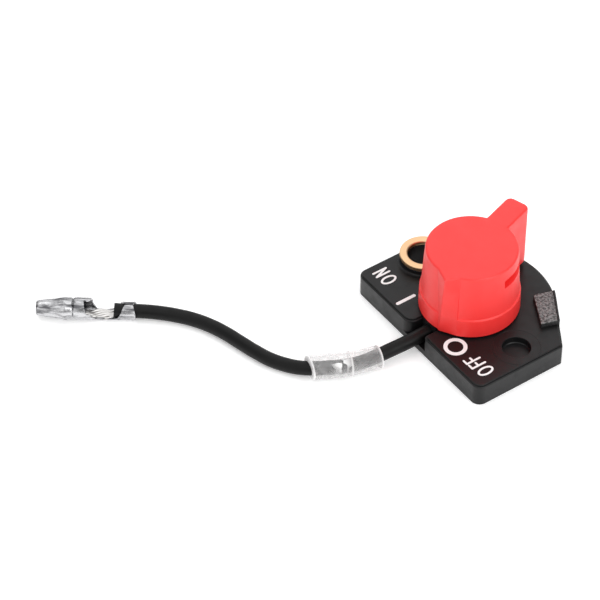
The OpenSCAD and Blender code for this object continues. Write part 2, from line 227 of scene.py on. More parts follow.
def piece(name, bm, body, slot, material, *nodes, smooth=14):
    """Makes the mesh an object in metres, on its body, that stands for its CAD nodes. Its slot is not
    used.
    """
    bmesh.ops.recalc_face_normals(bm, faces=bm.faces)
    mesh = bpy.data.meshes.new(name)
    bm.to_mesh(mesh)
    bm.free()
    mesh.transform(Matrix.Scale(MM, 4))
    mesh.polygons.foreach_set("use_smooth", [True] * len(mesh.polygons))
    mesh.set_sharp_from_angle(angle=math.radians(smooth))
    obj = bpy.data.objects.new(name, mesh)
    bpy.context.scene.collection.objects.link(obj)
    mesh.materials.append(material)
    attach(obj, body)
    if nodes:
        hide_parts(*nodes)
    return obj


# --- camera ---

CAMERA_BACK = Vector((-0.5852, 0.4120, 0.6984)).normalized()
CAMERA_RIGHT = Vector((-0.5757, -0.8177, 0)).normalized()
CAMERA_UP = CAMERA_BACK.cross(CAMERA_RIGHT)
SENSOR_WIDTH = 36
FOCAL_LENGTH = 175.76
# Where it stands from a point on the knob's axis, in millimetres: back, to its right and up
CAMERA_STEPS = (605.24, -34.936, 0.621)
AIM_HEIGHT = 5.161


def camera():
    """Long lens 44 degrees above the surface, between the lead's side and the OFF side."""
    lens = bpy.data.cameras.new("camera")
    lens.sensor_width = SENSOR_WIDTH
    lens.lens = FOCAL_LENGTH
    lens.clip_start = 0.05
    lens.clip_end = 20
    obj = bpy.data.objects.new("camera", lens)
    turn = Matrix((CAMERA_RIGHT, CAMERA_UP, CAMERA_BACK)).transposed().to_4x4()
    back, right, up = CAMERA_STEPS
    place = back * CAMERA_BACK + right * CAMERA_RIGHT + up * CAMERA_UP + Vector((0, 0, AIM_HEIGHT))
    obj.matrix_world = Matrix.Translation(place * MM) @ turn
    bpy.context.scene.collection.objects.link(obj)
    bpy.context.scene.camera = obj


camera()
bpy.context.scene.view_settings.view_transform = "Standard"


# --- materials ---

# Step of the clear sleeve, as a share of its length, and the middle of the painted highlights on its
# crease in millimetres
SLEEVE_STEP = 0.43
CREASE_GLINTS_AT = Vector((1.3, 31.4, 4.7))
# Metres of lead to one unit of its rib pattern, and units of the pattern round it
RIB_PITCH = 0.45
RIBS_ROUND = 4
# Sockets of a mix node for colours: its two inputs and its output
MIX_A, MIX_B, MIX_OUT = 6, 7, 2


def linear(hex_colour):
    """sRGB hex to linear colour."""
    def channel(c):
        return c / 12.92 if c <= 0.04045 else ((c + 0.055) / 1.055) ** 2.4
    return [channel(int(hex_colour[i:i + 2], 16) / 255) for i in (1, 3, 5)] + [1.0]


def per_mm(size):
    """Pattern scale for features of that many millimetres."""
    return 1 / (size * MM)


def add(tree, kind, settings=None, links=None):
    """Adds a node, sets its properties and inputs, and links its inputs from (node, output)."""
    node = tree.nodes.new(kind)
    for name, value in (settings or {}).items():
        if hasattr(node, name):
            setattr(node, name, value)
        else:
            node.inputs[name].default_value = value
    for name, (source, output) in (links or {}).items():
        tree.links.new(source.outputs[output], node.inputs[name])
    return node


def cloud(tree, place, size, detail, roughness=0.5):
    """Noise with features of that many millimetres."""
    settings = {"Scale": per_mm(size), "Detail": detail, "Roughness": roughness}
    return add(tree, "ShaderNodeTexNoise", settings, {"Vector": (place, "Object")})


def remap(tree, source, output, start, end, low=0.0, high=1.0):
    """Spreads the values between start and end over low to high."""
    settings = {"From Min": start, "From Max": end, "To Min": low, "To Max": high}
    return add(tree, "ShaderNodeMapRange", settings, {"Value": (source, output)})


def two_tone(tree, source, start, end, low, high):
    """Ramp between two colours, each with its place on the noise."""
    node = add(tree, "ShaderNodeValToRGB", None, {"Fac": (source, "Fac")})
    for element, position, colour in zip(node.color_ramp.elements, (start, end), (low, high)):
        element.position = position
        element.color = linear(colour)
    return node


def surface(name, colour, roughness, metallic=0.0, ior=None):
    """Material with its constants on the shader, its tree, its shader and its object coordinates."""
    material = bpy.data.materials.new(name)
    material.use_nodes = True
    tree = material.node_tree
    shader = next(n for n in tree.nodes if n.type == "BSDF_PRINCIPLED")
    shader.inputs["Base Color"].default_value = linear(colour)
    shader.inputs["Roughness"].default_value = roughness
    shader.inputs["Metallic"].default_value = metallic
    if ior is not None:
        shader.inputs["IOR"].default_value = ior
    place = add(tree, "ShaderNodeTexCoord")
    return material, tree, shader, place


def mottle(tree, shader, place, low, high, size):
    """Slow drift between two colours over patches of that size."""
    patches = cloud(tree, place, size, 3.0)
    blend = add(tree, "ShaderNodeMix", {"data_type": "RGBA"}, {"Factor": (patches, "Fac")})
    blend.inputs[MIX_A].default_value = linear(low)
    blend.inputs[MIX_B].default_value = linear(high)
    tree.links.new(blend.outputs[MIX_OUT], shader.inputs["Base Color"])


def sheen_drift(tree, shader, place, low, high, size):
    """Roughness that wanders between two values over patches of that size."""
    drift = remap(tree, cloud(tree, place, size, 4.0), "Fac", 0.3, 0.7, low, high)
    tree.links.new(drift.outputs["Result"], shader.inputs["Roughness"])


def bumps(tree, shader, source, depth, strength=1.0):
    """Bump from a pattern, as deep as that many millimetres."""
    bump = add(tree, "ShaderNodeBump", {"Strength": strength, "Distance": depth * MM},
               {"Height": (source, "Fac")})
    tree.links.new(bump.outputs["Normal"], shader.inputs["Normal"])


def grain(tree, shader, place, size, depth):
    """Fine bumps of that size and depth, in millimetres."""
    bumps(tree, shader, cloud(tree, place, size, 2.0), depth)


def red_abs():
    """ABS moulded in red against a fine-blasted tool: satin, even, with a soft highlight on its edges."""
    material, tree, shader, place = surface("red_moulded_abs", "#F03230", 0.42, ior=1.5)
    mottle(tree, shader, place, "#EE2F2D", "#F23533", 9)
    sheen_drift(tree, shader, place, 0.38, 0.48, 2.5)
    grain(tree, shader, place, 0.12, 0.004)
    return material


def black_nylon():
    """Black glass-filled nylon from a spark-eroded tool: dark, fine matt grain, low sheen."""
    material, tree, shader, place = surface("black_moulded_nylon", "#131314", 0.4, ior=1.36)
    mottle(tree, shader, place, "#111112", "#151516", 6)
    sheen_drift(tree, shader, place, 0.3, 0.46, 1.8)
    grain(tree, shader, place, 0.14, 0.008)
    return material


def grey_grit():
    """Coarse-grained moulding: black sides and a worn grey top with light and dark specks."""
    material, tree, shader, place = surface("grey_coarse_grain", "#8B8B8B", 0.62, ior=1.5)
    specks = cloud(tree, place, 0.5, 3.0, roughness=0.75)
    tones = two_tone(tree, specks, 0.40, 0.60, "#303030", "#828282")
    # Grey where the face looks up, black where it doesn't
    facing = add(tree, "ShaderNodeSeparateXYZ", None, {"Vector": (place, "Normal")})
    top = remap(tree, facing, "Z", 0.35, 0.6)
    blend = add(tree, "ShaderNodeMix", {"data_type": "RGBA"}, {"Factor": (top, "Result")})
    blend.inputs[MIX_A].default_value = linear("#1C1C1D")
    tree.links.new(tones.outputs["Color"], blend.inputs[MIX_B])
    tree.links.new(blend.outputs[MIX_OUT], shader.inputs["Base Color"])
    grain(tree, shader, place, 0.3, 0.05)
    return material


def brass(name, colour, roughness):
    """Stamped brass strip: pale gold, finely rolled, a little dulled."""
    material, tree, shader, place = surface(name, colour, roughness, metallic=1.0)
    sheen_drift(tree, shader, place, roughness - 0.06, roughness + 0.08, 1.2)
    grain(tree, shader, place, 0.15, 0.003)
    return material


def pad_print():
    """White pad-printing ink: matt, opaque, with thin spots that let a little of the plate through."""
    material, tree, shader, place = surface("white_pad_print", "#F4F4F4", 0.55, ior=1.48)
    mottle(tree, shader, place, "#E6E6E6", "#FBFBFB", 0.6)
    grain(tree, shader, place, 0.1, 0.003)
    return material


def lead_pvc():
    """Black PVC insulation: satin, with faint ribs from its strands that run almost straight along it."""
    material, tree, shader, place = surface("black_lead_pvc", "#080808", 0.42, ior=1.3)
    sheen_drift(tree, shader, place, 0.38, 0.52, 1.5)
    scale = (LEAD_LENGTH / RIB_PITCH, RIBS_ROUND, 1)
    lay = add(tree, "ShaderNodeMapping", {"Scale": scale}, {"Vector": (place, "UV")})
    settings = {"wave_type": "BANDS", "bands_direction": "DIAGONAL", "Scale": 0.31, "Distortion": 1.2,
                "Detail": 2.0}
    ribs = add(tree, "ShaderNodeTexWave", settings, {"Vector": (lay, "Vector")})
    bumps(tree, shader, ribs, 0.05, strength=0.8)
    return material


def sleeve_rims(tree, place):
    """Milky bands at the clear sleeve's two rims and its step, by place along the tube."""
    along = add(tree, "ShaderNodeSeparateXYZ", None, {"Vector": (place, "UV")})
    rims = add(tree, "ShaderNodeValToRGB", None, {"Fac": (along, "X")})
    bands = ((0.0, 0.65), (0.01, 0.5), (0.024, 0), (SLEEVE_STEP - 0.012, 0), (SLEEVE_STEP - 0.003, 0.35),
             (SLEEVE_STEP + 0.003, 0.35), (SLEEVE_STEP + 0.012, 0), (0.975, 0), (0.99, 0.6), (1.0, 0.65))
    elements = rims.color_ramp.elements
    for at, _ in bands[1:-1]:
        elements.new(at)
    for element, (_, value) in zip(elements, bands):
        element.color = (value, value, value, 1)
    return rims


def sleeve_crease_glints(tree, place):
    """Painted highlights: opaque white patches in place of the reflections on the crease's folds, within
    2.4 mm of the crease's middle.
    """
    distance = add(tree, "ShaderNodeVectorMath", {"operation": "DISTANCE"}, {0: (place, "Object")})
    distance.inputs[1].default_value = CREASE_GLINTS_AT * MM
    mask = remap(tree, distance, "Value", 2.4 * MM, 0.6 * MM)
    painted_glints = remap(tree, cloud(tree, place, 1.3, 0.0), "Fac", 0.52, 0.56, 0.0, 0.7)
    return add(tree, "ShaderNodeMath", {"operation": "MULTIPLY"},
               {0: (mask, "Result"), 1: (painted_glints, "Result")})


def clear_pvc():
    """Clear soft PVC tube: see-through, milky at its rims, at its step and where it's seen edge on, with
    painted highlights on its crease.
    """
    material, tree, shader, place = surface("clear_soft_pvc", "#F4F3F3", 0.16, ior=1.5)
    haze = remap(tree, cloud(tree, place, 1.6, 3.0, roughness=0.6), "Fac", 0.35, 0.75, 0.07, 0.2)
    edge = add(tree, "ShaderNodeLayerWeight", {"Blend": 0.22})
    edge_haze = add(tree, "ShaderNodeMath", {"operation": "MULTIPLY"}, {0: (edge, "Facing")})
    edge_haze.inputs[1].default_value = 0.55
    rim_haze = add(tree, "ShaderNodeMath", {"operation": "ADD"},
                   {0: (haze, "Result"), 1: (sleeve_rims(tree, place), "Color")})
    both = add(tree, "ShaderNodeMath", {"operation": "ADD"},
               {0: (rim_haze, "Value"), 1: (edge_haze, "Value")})
    # The crease's patches are painted highlights: opacity in place of the reflections on its folds
    total = add(tree, "ShaderNodeMath", {"operation": "ADD", "use_clamp": True},
                {0: (both, "Value"), 1: (sleeve_crease_glints(tree, place), "Value")})
    tree.links.new(total.outputs["Value"], shader.inputs["Alpha"])
    grain(tree, shader, place, 1.4, 0.08)
    return material


def tin_plate():
    """Tinned brass, stamped and rolled: bright, with dull streaks drawn out along it."""
    material, tree, shader, place = surface("tinned_brass", "#C9C9CB", 0.24, metallic=1.0)
    lay = add(tree, "ShaderNodeMapping", {"Rotation": (0, 0, -TERM_TURN)}, {"Vector": (place, "Object")})
    drawn = add(tree, "ShaderNodeMapping", {"Scale": (0.16, 1, 1)}, {"Vector": (lay, "Vector")})
    streaks = add(tree, "ShaderNodeTexNoise", {"Scale": per_mm(1.1), "Detail": 4.0, "Roughness": 0.62},
                  {"Vector": (drawn, "Vector")})
    tones = two_tone(tree, streaks, 0.4, 0.58, "#5C5C5F", "#D0D0D2")
    tree.links.new(tones.outputs["Color"], shader.inputs["Base Color"])
    sheen_drift(tree, shader, place, 0.18, 0.34, 0.9)
    grain(tree, shader, place, 0.4, 0.02)
    return material


def plain_metal(name, colour, roughness, grain_mm):
    """Small steel, bronze and copper parts: rolled or drawn, with a fine uneven sheen."""
    material, tree, shader, place = surface(name, colour, roughness, metallic=1.0)
    sheen_drift(tree, shader, place, roughness * 0.8, roughness * 1.3, grain_mm * 6)
    grain(tree, shader, place, grain_mm, 0.004)
    return material


def plain_polymer(name, low, high, roughness, grain_mm):
    """Hidden mouldings, laminate and rubber: two close shades and a fine grain."""
    material, tree, shader, place = surface(name, low, roughness, ior=1.5)
    mottle(tree, shader, place, low, high, grain_mm * 12)
    grain(tree, shader, place, grain_mm, 0.006)
    return material


# --- lead ---

# Centre line, from inside the plate to the terminal's wings
LEAD_ROUTE = [Vector(p) * MM for p in (
    (0, 8.8, 3), (0, 11.4, 3), (-0.1, 14, 3), (0, 17, 2.9), (0.3, 20, 2.7), (0.5, 22.8, 2.6),
    (1, 25.8, 2.35), (1.8, 28.6, 2.15), (2.8, 30.8, 2.1), (4.1, 33.1, 2.1), (5.4, 35.3, 2.15),
    (7.5, 37.4, 1.8), (10.3, 39.3, 1.5), (13.2, 40.9, 1.5), (16.8, 42.1, 1.5), (20.7, 43.1, 1.5),
    (24.7, 44.1, 1.5), (28.3, 45.4, 1.5), (31.6, 47.1, 1.5), (34.4, 49.1, 1.5), (36.9, 51.4, 1.6),
    (39, 53.8, 1.75), (40.8, 56.2, 1.88), (42, 57.9, 1.95), (43.2, 59.55, 2.15))]
LEAD_LENGTH = sum((b - a).length for a, b in zip(LEAD_ROUTE, LEAD_ROUTE[1:]))


def lead():
    """Round insulation on one smooth curve along its route."""
    curve = bpy.data.curves.new("lead_insulated", "CURVE")
    curve.dimensions = "3D"
    curve.bevel_depth = LEAD_D / 2 * MM
    curve.bevel_resolution = 6
    curve.resolution_u = 8
    curve.use_fill_caps = True
    spline = curve.splines.new("BEZIER")
    spline.bezier_points.add(len(LEAD_ROUTE) - 1)
    for knot, point in zip(spline.bezier_points, LEAD_ROUTE):
        knot.co = point
        knot.handle_left_type = knot.handle_right_type = "AUTO"
    obj = bpy.data.objects.new("lead_insulated", curve)
    bpy.context.scene.collection.objects.link(obj)
    curve.materials.append(lead_pvc())
    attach(obj, "base")
    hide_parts("lead")
    return obj


lead_piece = lead()


# --- plate ---

# Turned profiles, as (radius, height): the blind recess on the OFF side, the bore under the ring, the
# chamber under the knob, and the turret and hub that stand in it
SEAT = 4.2
RECESS = ((3.04, PLATE_TOP), (3, PLATE_TOP - 0.02), (2.96, PLATE_TOP - 0.1), (2.95, 3.75), (2.8, 3.6),
          (0, 3.6))
BORE = ((3.9, PLATE_TOP), (3.9, SEAT), (HOLE_R, SEAT), (HOLE_R, 0))
CHAMBER = ((7.8, PLATE_TOP), (7.8, SEAT), (7.2, SEAT), (7.2, 1.2), (10.8, 1.2), (10.8, 0))
TURRET = ((7.2, SEAT), (7.75, SEAT), (7.75, 5.15), (8.4, 5.15), (8.4, 9), (5.2, 9), (5.2, 12.4),
          (4.2, 12.4), (4.2, 10.8), (3.05, 10.8), (3.05, 7.6), (7.2, 7.6))
# The ring's boss, the fillet at its foot, and the witness line of the tool's insert round the recess
BOSS = ((HOLE_R, SEAT), (HOLE_R, BOSS_TOP), (BOSS_R - 0.1, BOSS_TOP), (BOSS_R, BOSS_TOP - 0.1),
        (BOSS_R, SEAT))
FOOT = ((BOSS_R - 0.1, PLATE_TOP - 0.1), (BOSS_R + 0.45, PLATE_TOP - 0.1),
        (BOSS_R + 0.45, PLATE_TOP + 0.01), (BOSS_R + 0.18, PLATE_TOP + 0.07),
        (BOSS_R + 0.05, PLATE_TOP + 0.2), (BOSS_R - 0.1, PLATE_TOP + 0.5))
WITNESS = ((4.88, PLATE_TOP - 0.05), (5.06, PLATE_TOP - 0.05), (5.0, PLATE_TOP + 0.035),
           (4.94, PLATE_TOP + 0.035))


def back_edge(steps=32):
    """Round back edge from one side's chamfer to the other, seen from above."""
    corner = Vector((PLATE_HALF, -PLATE_SIDE))
    chamfer = math.atan2(corner.y, corner.x) - math.acos(PLATE_BACK / corner.length)
    start, end = math.pi - chamfer, FULL + chamfer
    return [(*polar(PLATE_BACK, start + (end - start) * k / steps), 0) for k in range(steps + 1)]


def slot_points():
    """Slot's walls, from its mouth on the ON side to its smaller one on the OFF side."""
    on_side, off_side = (
        rounded([(PLATE_HALF, PLATE_FRONT, 0), (SLOT_HALF, PLATE_FRONT, corner),
                 (SLOT_HALF, SLOT_END, SLOT_INNER), (0, SLOT_END, 0)], steps=8, closed=False)[1:-1]
        for corner in SLOT_CORNERS)
    return on_side + [Vector((-p.x, p.y)) for p in reversed(off_side)]


def side_points():
    """Plate's outline, all but its front edge, from the OFF side's front corner to the ON side's."""
    front, back = PLATE_CORNERS
    return rounded([(-PLATE_HALF, PLATE_FRONT, front), (-PLATE_HALF, -PLATE_SIDE, back), *back_edge(),
                    (PLATE_HALF, -PLATE_SIDE, back), (PLATE_HALF, PLATE_FRONT, front)], steps=8)


def plate_shell(bm):
    """Walls, ledge and raised field, with the lead's slot. Returns the ring at the open underside."""
    slot = slot_points()
    # Lower wall, up to the slot's floor
    low_rim = loop_of(bm, [slot[-1], *side_points(), slot[0]], 0)
    edges = raised(bm, low_rim, SLOT_FLOOR)
    ends = [min((v for e in edges for v in e.verts), key=lambda v: (v.co.xy - p).length)
            for p in (slot[0], slot[-1])]
    outer = [e for e in edges if set(e.verts) != set(ends)]
    inner = [ends[0]] + [bm.verts.new((*p, SLOT_FLOOR)) for p in slot[1:-1]] + [ends[1]]
    walls = [bm.edges.new(pair) for pair in zip(inner, inner[1:])]
    bm.faces.new(inner)
    # Upper wall, ledge and raised field
    top = raised(bm, outer + walls, LEDGE - SLOT_FLOOR)
    field = bmesh.ops.contextual_create(bm, geom=top)["faces"][0]
    bmesh.ops.recalc_face_normals(bm, faces=bm.faces)
    bmesh.ops.inset_region(bm, faces=[field], thickness=FIELD_STEP, use_even_offset=True)
    pulled(bm, [field], FIELD_STEP)
    soften(bm, [e for e in bm.edges if flat_at(e, LEDGE) and convex_rim(e)], SOFT["ledge"])
    soften(bm, [e for e in bm.edges if flat_at(e, PLATE_TOP) and len(e.link_faces) == 2], SOFT["field"])
    return low_rim


def flat_at(edge, height):
    """True where both ends of an edge lie at a height."""
    return all(abs(v.co.z - height) < 1e-4 for v in edge.verts)


def convex_rim(edge, slack=0.01):
    """True for an edge between a flat top and the wall below it."""
    height = edge.verts[0].co.z
    around = [f.calc_center_median().z for f in edge.link_faces]
    return (len(around) == 2 and edge.is_convex
            and min(around) < height - slack and max(around) < height + slack)


def open_face(bm, height, holes):
    """Replaces the largest flat face at a height by one with round openings."""
    flat = [f for f in bm.faces
            if abs(f.calc_center_median().z - height) < 1e-4 and abs(f.normal.z) > 0.99]
    face = max(flat, key=lambda f: f.calc_area())
    rim = list(face.edges)
    bmesh.ops.delete(bm, geom=[face], context="FACES_ONLY")
    bmesh.ops.triangle_fill(bm, edges=rim + holes, use_beauty=True)


def block_walls(plate_bm):
    """Adds the wall behind each pad: a strip along the plate's edge, cut in line with the pad's sides."""
    bm = bmesh.new()
    outline = loop_of(bm, side_points(), PLATE_TOP - BLOCK_SUNK)
    slab = bmesh.ops.contextual_create(bm, geom=outline)["faces"]
    bmesh.ops.recalc_face_normals(bm, faces=slab)
    # The strip starts a little inside the plate's own wall
    bmesh.ops.inset_region(bm, faces=slab, thickness=0.02, use_even_offset=True, use_boundary=True)
    bmesh.ops.delete(bm, geom=[f for f in bm.faces if f not in slab], context="FACES")
    bmesh.ops.inset_region(bm, faces=slab, thickness=BLOCK_WALL, use_even_offset=True, use_boundary=True)
    bmesh.ops.delete(bm, geom=slab, context="FACES")
    pulled(bm, list(bm.faces), BLOCK_TOP - PLATE_TOP + BLOCK_SUNK, keep=True)
    bmesh.ops.recalc_face_normals(bm, faces=bm.faces)
    along, side = polar(1, HANDLE - THROW), polar(1, HANDLE - THROW + FULL / 4)
    for offset, normal in ((0, -along), (BLOCK_NEAR, side), (BLOCK_FAR, -side)):
        bmesh.ops.bisect_plane(bm, geom=all_of(bm), plane_co=(*(side * offset), 0), plane_no=(*normal, 0),
                               clear_outer=True)
        bmesh.ops.holes_fill(bm, edges=[e for e in bm.edges if len(e.link_faces) == 1])
    soften(bm, [e for e in bm.edges if flat_at(e, BLOCK_TOP)], SOFT["block"], 2)
    bmesh.ops.mirror(bm, geom=all_of(bm), axis="X", merge_dist=1e-6)
    mesh = bpy.data.meshes.new("block_walls")
    bm.to_mesh(mesh)
    bm.free()
    plate_bm.from_mesh(mesh)
    bpy.data.meshes.remove(mesh)


def plate():
    """Moulded plate with its openings, the ring's boss, the stop blocks' walls, and the turret."""
    bm = bmesh.new()
    low_rim = plate_shell(bm)
    recess = turned(bm, RECESS, (-HOLE_X, 0))
    bore = turned(bm, BORE, (HOLE_X, 0))
    chamber = turned(bm, CHAMBER)
    open_face(bm, PLATE_TOP, recess[0] + bore[0] + chamber[0])
    bmesh.ops.triangle_fill(bm, edges=low_rim + bore[1] + chamber[1], use_beauty=True)
    turned(bm, BOSS, (HOLE_X, 0), closed=True)
    swept(bm, FOOT, (HOLE_X, 0), 33, 327)
    swept(bm, WITNESS, (-HOLE_X, 0), -155, 155)
    block_walls(bm)
    turned(bm, TURRET, closed=True)
    return piece("plate_moulded", bm, "base", "black_plate", black_nylon(), "housing")


# Pads: the longest edge of a facet, how deep the grain goes, and how fine it is, per millimetre
PAD_FACET = 0.35
PAD_GRAIN_DEEP = 0.09
PAD_GRAIN_FINE = 2.6


def stop_pads():
    """Grey pads with softened edges and a grain that goes in from their faces."""
    bm = bmesh.new()
    bm.from_mesh(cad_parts["stop_pads"].data)
    bmesh.ops.scale(bm, verts=bm.verts, vec=(1 / MM,) * 3)
    bmesh.ops.remove_doubles(bm, verts=bm.verts, dist=1e-4)
    bmesh.ops.dissolve_limit(bm, angle_limit=math.radians(3), verts=bm.verts, edges=bm.edges)
    soften(bm, sharp_edges(bm, 30), SOFT["pad"], 2)
    bmesh.ops.triangulate(bm, faces=bm.faces)
    for _ in range(5):
        longest = [e for e in bm.edges if e.calc_length() > PAD_FACET]
        bmesh.ops.subdivide_edges(bm, edges=longest, cuts=1)
        bmesh.ops.triangulate(bm, faces=[f for f in bm.faces if len(f.verts) > 3])
    bm.normal_update()
    for v in bm.verts:
        if v.co.z > PLATE_TOP + 0.1:
            v.co -= v.normal * (0.5 - noise.noise(v.co * PAD_GRAIN_FINE)) * PAD_GRAIN_DEEP
    return piece("stop_pads_grained", bm, "base", "grey_grain", grey_grit(), "stop_pads", smooth=60)


# Leg of the earth ring, inside the plate
LEG_SIZE = (0.5, 2.6, 4.5)
LEG_AT = (HOLE_X - 4, 0, 3.95)


def earth_ring():
    """Brass ring on the boss, the inner edge of its top well rounded, with its leg below it."""
    bm = bmesh.new()
    foot = BOSS_TOP + 0.005
    section = rounded([(HOLE_R, foot, 0.1), (RING_R, foot, 0.15), (RING_R, RING_TOP, 0.15),
                       (HOLE_R, RING_TOP, 0.45)], steps=5)
    turned(bm, section, (HOLE_X, 0), steps=128, closed=True)
    leg = bmesh.ops.create_cube(bm, size=1)["verts"]
    bmesh.ops.scale(bm, verts=leg, vec=LEG_SIZE)
    bmesh.ops.translate(bm, verts=leg, vec=LEG_AT)
    material = brass("pale_stamped_brass", "#E4BC92", 0.34)
    return piece("earth_ring_stamped", bm, "base", "ring_brass", material, "earth_ring")


# --- knob ---

# Pointer nose, round from the handle's line: where its flat side starts, its tip at the bottom and at the
# top, and the step that ends it
NOSE_FLAT = (8.9, math.radians(144))
NOSE_TIP = ((10.75, math.radians(178.6)), (11.55, math.radians(186.2)))
NOSE_STEP = math.radians(199.7)
# Recess under the rim: its two ends round from the handle's line, its two heights and its depth
NOTCH = (math.radians(-102), math.radians(-40))
NOTCH_LOW = 16.4
NOTCH_HIGH = 18.5
NOTCH_DEEP = 0.9
# Each level: height, radius, and how far the step of the nose stands out from it
KNOB_LEVELS = (
    (KNOB_LOW, 10.45, 0), (KNOB_LOW + 0.12, 10.55, 0), (HANDLE_LOW, 10.54, 0), (9.85, 10.46, 0),
    (10.02, 10.38, 0.07), (SHOULDER, 10.2, 0.24), (NOTCH_LOW, 9.83, 0.13), (NOTCH_HIGH, 9.71, 0.1),
    (KNOB_TOP - 0.55, 9.57, 0.06), (KNOB_TOP, KNOB_RIM_R, 0.05))
# Hollow under the roof, with the post that takes the shaft, as (radius, height)
CAVITY = ((9.15, KNOB_LOW), (8.55, 19.6), (4.2, 19.6), (4.2, 12.7), (2.45, 12.7), (2.45, 16.1),
          (1.55, 16.1), (1.55, 18), (0, 18))


def crossing(inside, outside, radius):
    """Angle at which the line between two points crosses a circle about the knob's axis."""
    run = outside - inside
    b, c = inside.dot(run), inside.length_squared - radius * radius
    share = (-b + math.sqrt(b * b - run.length_squared * c)) / run.length_squared
    point = inside + run * share
    return math.atan2(point.y, point.x) % FULL


def nose_tip(height):
    """Tip of the nose at a height: it leans outwards and round towards the step on its way up."""
    share = (height - KNOB_LOW) / (KNOB_TOP - KNOB_LOW)
    (low_r, low_angle), (high_r, high_angle) = NOSE_TIP
    return polar(low_r + (high_r - low_r) * share, low_angle + (high_angle - low_angle) * share + HANDLE)


def arc(radius, start, end, steps):
    """Points round the knob's axis, all but the last one."""
    return [polar(radius, start + (end - start) * k / steps) for k in range(steps)]


def knob_outline(height, radius, lift):
    """Outline at one level, from the handle round to the handle again."""
    flat, tip = polar(NOSE_FLAT[0], NOSE_FLAT[1] + HANDLE), nose_tip(height)
    grip = math.asin(HANDLE_HALF / radius)
    nose = crossing(flat, tip, radius)
    step = NOSE_STEP + HANDLE
    notch_start, notch_end = (angle + HANDLE + FULL for angle in NOTCH)
    return (arc(radius, HANDLE + grip, nose, 28)
            + [polar(radius, nose), tip, polar(radius + lift, step)]
            + arc(radius, step + 0.012, notch_start, 12)
            + arc(radius, notch_start, notch_end, 12)
            + arc(radius, notch_end, HANDLE - grip + FULL, 5)
            + arc(radius, HANDLE - grip + FULL, HANDLE + grip + FULL, 8))


def knob_shell(bm):
    """Side wall of the knob, level by level, with its pointer nose. Returns the ring at its foot."""
    rings = []
    for level in KNOB_LEVELS:
        rings.append(loop_of(bm, knob_outline(*level), level[0]))
        if len(rings) > 1:
            bmesh.ops.bridge_loops(bm, edges=rings[-2] + rings[-1])
    return rings[0]


def between(face, start, end, low, high):
    """True where a side face lies between two angles and two heights."""
    centre = face.calc_center_median()
    angle = (math.atan2(centre.y, centre.x) - start) % FULL
    return angle < (end - start) % FULL and low < centre.z < high


def handle(bm):
    """Finger handle: the wall between its two creases is pulled out and its end rounded."""
    grip = math.asin(HANDLE_HALF / KNOB_RIM_R)
    wall = [f for f in bm.faces if between(f, HANDLE - grip, HANDLE + grip, HANDLE_LOW, KNOB_TOP)]
    verts = pulled(bm, wall)
    turn = Matrix.Rotation(HANDLE, 3, "Z")
    end = rounded([(0, -HANDLE_HALF, 0), (HANDLE_REACH, -HANDLE_HALF, HANDLE_CORNER),
                   (HANDLE_REACH, HANDLE_HALF, HANDLE_CORNER), (0, HANDLE_HALF, 0)], closed=False)[1:-1]
    for height in {round(v.co.z, 4) for v in verts}:
        row = sorted((v for v in verts if abs(v.co.z - height) < 1e-3), key=lambda v: (v.co @ turn).y)
        for v, spot in zip(row, spread(end, len(row))):
            v.co = turn @ Vector((spot.x, spot.y, height))


def spread(points, count):
    """The same line with its longest stretch divided until it has that many points."""
    points = list(points)
    while len(points) < count:
        gaps = [(b - a).length for a, b in zip(points, points[1:])]
        i = gaps.index(max(gaps))
        points.insert(i + 1, (points[i] + points[i + 1]) / 2)
    return points


def notch(bm):
    """Recess under the rim beside the handle."""
    start, end = (angle + HANDLE for angle in NOTCH)
    wall = [f for f in bm.faces if between(f, start, end, NOTCH_LOW, NOTCH_HIGH)]
    for v in pulled(bm, wall):
        v.co.xy = v.co.xy.normalized() * (KNOB_RIM_R - NOTCH_DEEP)


def knob():
    """Moulded knob: its wall, notch and handle, then its roof, its rounded edges and its hollow."""
    bm = bmesh.new()
    foot = knob_shell(bm)
    notch(bm)
    handle(bm)
    bmesh.ops.contextual_create(
        bm, geom=[e for e in bm.edges if flat_at(e, KNOB_TOP) and len(e.link_faces) == 1])
    roof = bmesh.ops.dissolve_faces(
        bm, faces=[f for f in bm.faces if all(flat_at(e, KNOB_TOP) for e in f.edges)])["region"]
    bmesh.ops.recalc_face_normals(bm, faces=bm.faces)
    soften(bm, [e for f in roof for e in f.edges], SOFT["roof"], 4)
    nose = [e for e in bm.edges if all((v.co.xy - nose_tip(v.co.z)).length < 0.02 for v in e.verts)]
    soften(bm, nose, SOFT["nose"])
    hollow = turned(bm, CAVITY, steps=72)
    foot = [e for e in foot if e.is_valid]
    bmesh.ops.triangle_fill(bm, edges=foot + hollow[0], use_beauty=True)
    return piece("knob_moulded", bm, "rotary", "red_knob", red_abs(), "knob")


# --- clear sleeve ---

# Stations along the sleeve: x, y and z of its centre, and its outer radius
SLEEVE_STATIONS = ((0.3, 22.7, 2.45, 2.42), (1, 25.7, 2.5, 2.42), (1.8, 28.6, 2.6, 2.45),
                   (2, 29, 2.65, 2.65), (3.8, 32.7, 2.65, 2.65), (5.8, 36.3, 2.6, 2.6))
SLEEVE_WALL = 0.4
SLEEVE_FACET = 0.45
SLEEVE_SIDES = 40
# How far its skin wanders in and out. The inner skin wanders less.
SLEEVE_WOBBLE = 0.07
# The far end is cut askew, square to this direction
SLEEVE_CUT = Vector((0.2, 0.98, 0))


